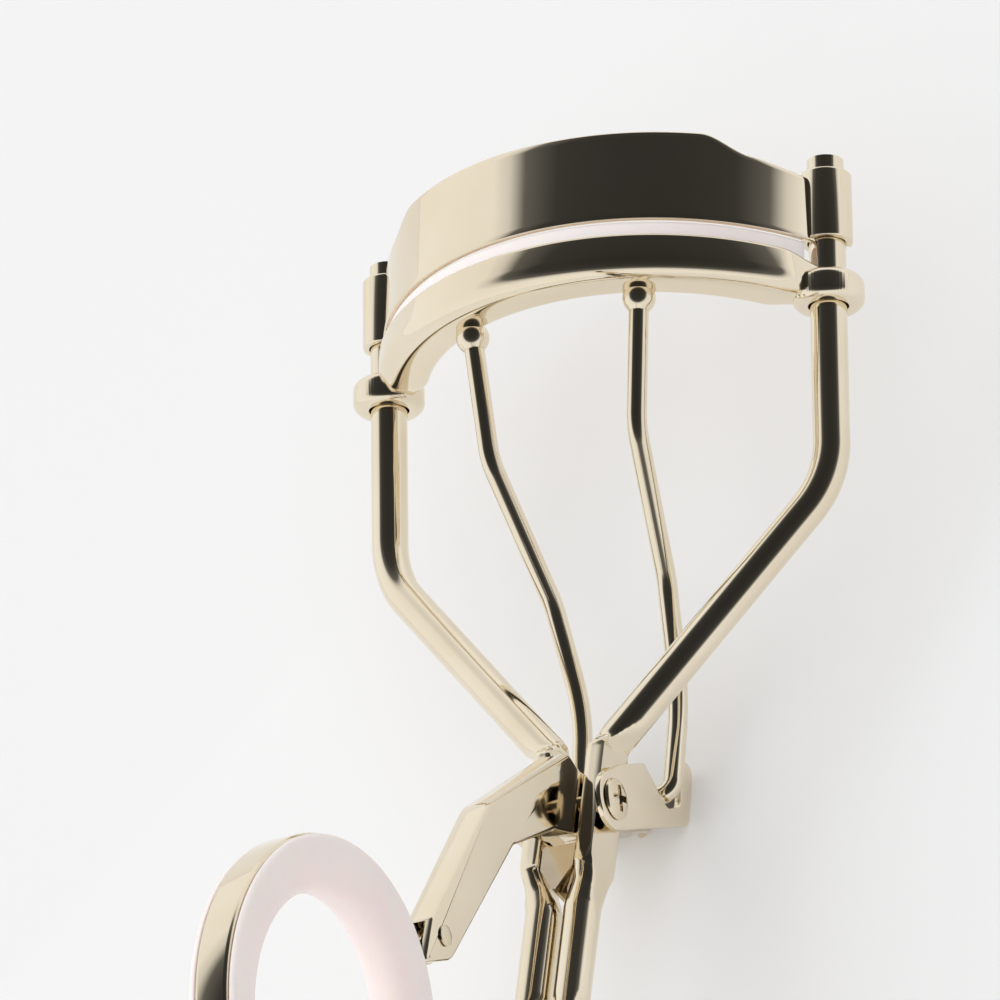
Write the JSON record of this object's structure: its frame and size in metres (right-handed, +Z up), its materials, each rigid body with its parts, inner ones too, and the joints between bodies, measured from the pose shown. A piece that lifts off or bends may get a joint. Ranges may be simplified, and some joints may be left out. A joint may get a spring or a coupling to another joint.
{
  "type": "eyelash curler",
  "caption": "Hand-held eyelash curler: arched clamping jaws on two bent rails, a scissor lever with link bail, and two oval finger rings with soft liners, lying on its back.",
  "frame": {"origin": "middle of the bounding box, on the resting plane under the object as it lies on its back", "axes": "+X to the right across both jaws and parallel to the lever's pivot, +Y along the fixed handle from the thumb ring to the jaws, +Z up from the resting plane towards the lever ring"},
  "size_m": [0.0426, 0.1051, 0.0566],
  "materials": {
    "left_rail": "polished pale gold plating",
    "right_rail": "polished pale gold plating",
    "spacer_block": "polished pale gold plating",
    "upper_jaw": "polished pale gold plating",
    "lower_jaw": "polished pale gold plating",
    "lash_pad": "matt pinkish white silicone",
    "link_bail": "polished pale gold plating",
    "left_link_ball": "polished pale gold plating",
    "right_link_ball": "polished pale gold plating",
    "yoke": "polished pale gold plating",
    "yoke_rivet": "polished pale gold plating",
    "lever_arm": "polished pale gold plating",
    "left_pivot_screw": "polished pale gold plating",
    "right_pivot_screw": "polished pale gold plating",
    "lever_ring": "polished pale gold plating",
    "lever_ring_grip": "matt pale pink silicone",
    "lever_ring_rivet": "polished pale gold plating",
    "thumb_ring": "polished pale gold plating",
    "thumb_ring_grip": "matt pale pink silicone",
    "thumb_ring_rivet": "polished pale gold plating"
  },
  "bodies": {
    "frame": {"left_rail": "left_rail", "right_rail": "right_rail", "spacer_block": "spacer_block", "upper_jaw": "upper_jaw", "thumb_ring": "thumb_ring", "thumb_ring_grip": "thumb_ring_grip", "thumb_ring_rivet": "thumb_ring_rivet"},
    "lever": {"lever_arm": "lever_arm", "yoke": "yoke", "yoke_rivet": "yoke_rivet", "left_pivot_screw": "left_pivot_screw", "right_pivot_screw": "right_pivot_screw", "lever_ring": "lever_ring", "lever_ring_grip": "lever_ring_grip", "lever_ring_rivet": "lever_ring_rivet"},
    "jaw": {"lower_jaw": "lower_jaw", "lash_pad": "lash_pad"},
    "bail": {"link_bail": "link_bail", "left_link_ball": "left_link_ball", "right_link_ball": "right_link_ball"}
  },
  "joints": [
    {"name": "lever_pivot", "type": "hinge", "parent": "frame", "child": "lever", "pos_m": [0, 0.00139, 0.01096], "axis": [-1, 0, 0], "range_deg": [0, 38]},
    {"name": "jaw_slide", "type": "slide", "parent": "frame", "child": "jaw", "axis": [0, -0.9866, -0.1633], "range_m": [0, 0.00643]},
    {"name": "bail_hinge", "type": "hinge", "parent": "jaw", "child": "bail", "pos_m": [0, 0.03899, 0.01793], "axis": [1, 0, 0], "range_deg": [0, 1.18]}
  ],
  "couplings": [
    {"joint": "jaw_slide", "follows": "lever_pivot", "m_per_rad": 0.0096993},
    {"joint": "bail_hinge", "follows": "lever_pivot", "ratio": 0.031147}
  ]
}
